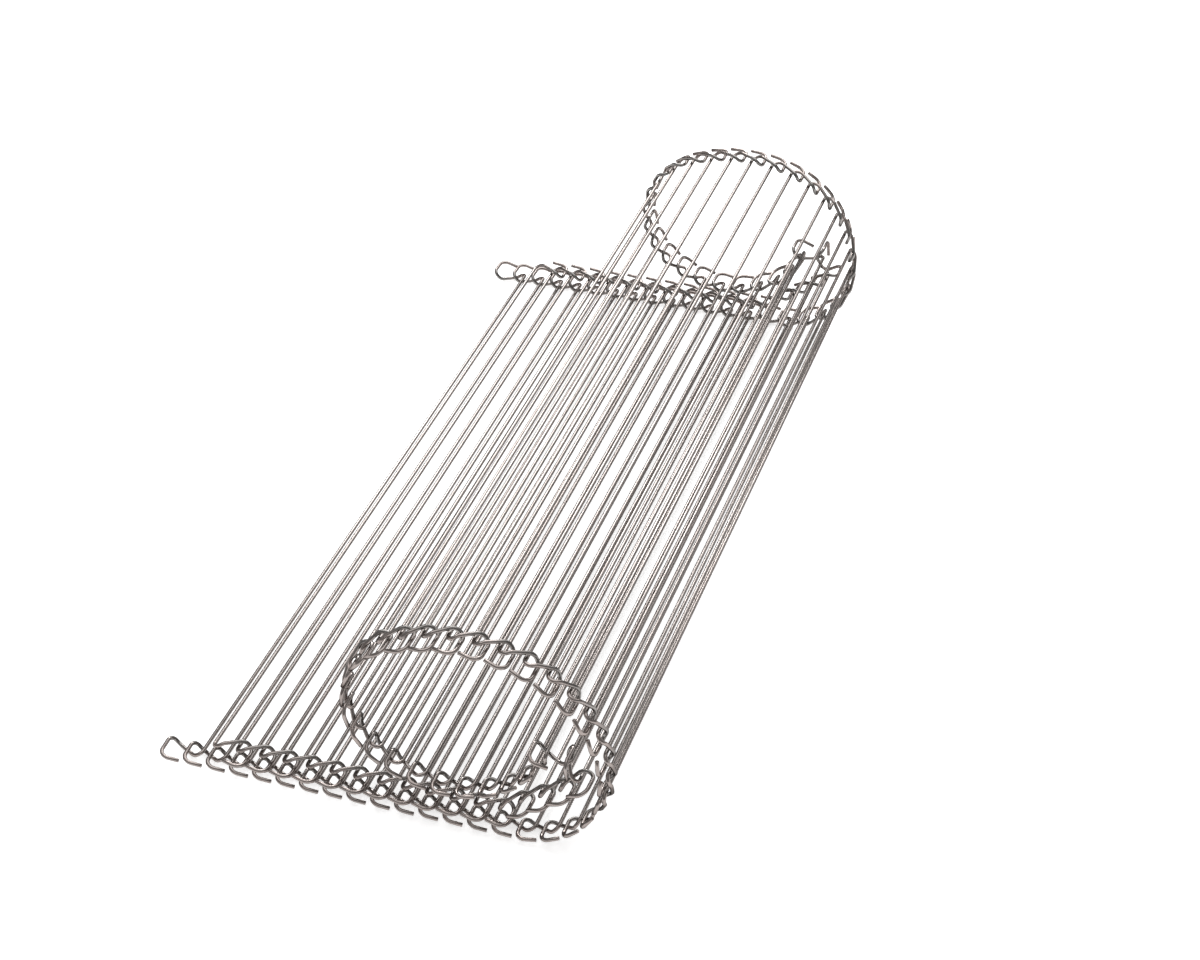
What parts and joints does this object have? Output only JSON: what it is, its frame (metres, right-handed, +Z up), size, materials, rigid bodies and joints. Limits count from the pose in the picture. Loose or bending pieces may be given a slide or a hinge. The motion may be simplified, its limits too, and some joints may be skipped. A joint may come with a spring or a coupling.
{
  "type": "wire link conveyor belt",
  "caption": "Wire-link conveyor belt of bright round wire, hooked together at both edges, loosely coiled into an open loop on its own lower run.",
  "frame": {"origin": "centre of the bounding box at floor level", "axes": "+Y along the rods, +X from the leading hooks along the lower run, +Z up"},
  "size_m": [0.1966, 0.4094, 0.0969],
  "materials": {
    "wire": "bright drawn stainless wire"
  },
  "bodies": {
    "belt": {"link_02": "wire", "link_03": "wire", "link_04": "wire", "link_05": "wire", "link_06": "wire", "link_07": "wire", "link_08": "wire", "link_09": "wire", "link_10": "wire", "link_11": "wire", "link_12": "wire", "link_13": "wire", "link_14": "wire", "link_15": "wire", "link_16": "wire", "link_17": "wire", "link_18": "wire", "link_19": "wire", "link_20": "wire", "link_21": "wire", "link_22": "wire", "link_23": "wire", "link_24": "wire", "link_25": "wire", "link_26": "wire", "link_27": "wire", "link_28": "wire", "link_29": "wire", "link_30": "wire", "link_31": "wire", "link_32": "wire", "link_33": "wire", "link_34": "wire", "link_35": "wire", "link_36": "wire", "link_37": "wire", "link_38": "wire", "link_39": "wire", "link_40": "wire", "link_41": "wire", "link_42": "wire", "link_43": "wire", "link_44": "wire", "link_45": "wire", "link_46": "wire", "link_47": "wire", "link_48": "wire", "link_49": "wire", "link_50_52": "wire", "link_51": "wire", "link_53_55": "wire", "link_54_56": "wire", "link_57_59": "wire", "link_58": "wire", "link_60": "wire", "link_61": "wire", "link_62": "wire", "link_63": "wire", "link_64": "wire"},
    "leading_link": {"link_01": "wire"}
  },
  "joints": [
    {"name": "leading_link_hinge", "type": "hinge", "parent": "belt", "child": "leading_link", "pos_m": [-0.08135, 0, 0.00363], "axis": [0, 1, 0], "range_deg": [0, 15]}
  ]
}
